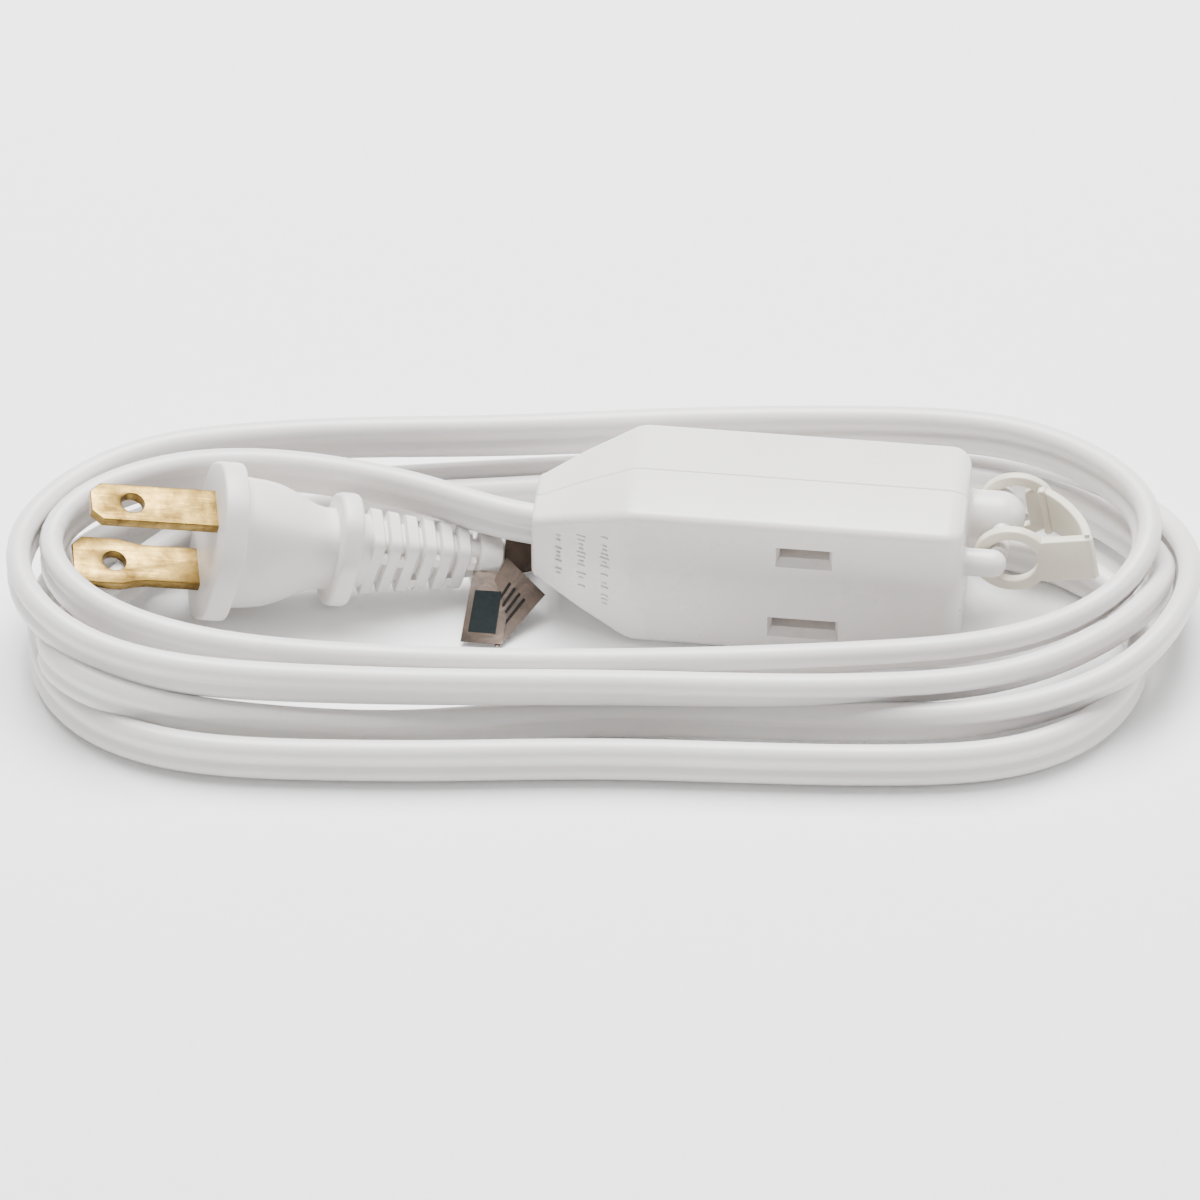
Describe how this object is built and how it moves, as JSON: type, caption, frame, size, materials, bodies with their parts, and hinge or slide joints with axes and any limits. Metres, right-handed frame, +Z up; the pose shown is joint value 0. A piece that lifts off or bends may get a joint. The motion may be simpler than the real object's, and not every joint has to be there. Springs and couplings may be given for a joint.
{
  "type": "extension cord",
  "caption": "Coiled flat two-core extension cord with a polarised blade plug, an oblong cube tap and a swinging hang strap.",
  "frame": {"origin": "on the table, under the middle of the box that holds the tap and its strap", "axes": "+X from the cord's entry to the strap end of the tap, +Y from the single outlet to the paired outlets, +Z up"},
  "size_m": [0.1629, 0.0733, 0.0258],
  "materials": {
    "tap_housing": "smooth moulded",
    "cord_vinyl": "satin extruded",
    "plug_vinyl": "satin moulded",
    "strap_plastic": "satin moulded",
    "bridge_plastic": "moulded",
    "blade_brass": "stamped and worn",
    "contact_brass": "stamped",
    "copper_strand": "bare bunched strands",
    "label_film": "printed film"
  },
  "bodies": {
    "root": {"front_shell": "tap_housing", "back_shell": "tap_housing", "live_rail": "contact_brass", "neutral_rail": "contact_brass", "front_live_clip": "contact_brass", "front_neutral_clip": "contact_brass", "rear_live_clips": "contact_brass", "rear_neutral_clips": "contact_brass", "cord_grip": "bridge_plastic", "tap_live_core": "cord_vinyl", "tap_neutral_core": "cord_vinyl", "tap_live_copper": "copper_strand", "tap_neutral_copper": "copper_strand", "plug_body": "plug_vinyl", "strain_relief": "plug_vinyl", "blade_bridge": "bridge_plastic", "live_blade": "blade_brass", "neutral_blade": "blade_brass", "live_crimp": "contact_brass", "neutral_crimp": "contact_brass", "plug_live_copper": "copper_strand", "plug_neutral_copper": "copper_strand", "plug_live_core": "cord_vinyl", "plug_neutral_core": "cord_vinyl", "cord_lead": "cord_vinyl", "cord_tail": "cord_vinyl", "cord_coil": "cord_vinyl", "cord_label": "label_film"},
    "strap": {"hang_strap": "strap_plastic"}
  },
  "joints": [
    {"name": "strap_swing", "type": "hinge", "parent": "root", "child": "strap", "pos_m": [0.025, 0, 0.015], "axis": [0, -1, 0], "range_deg": [-30, 82]}
  ]
}
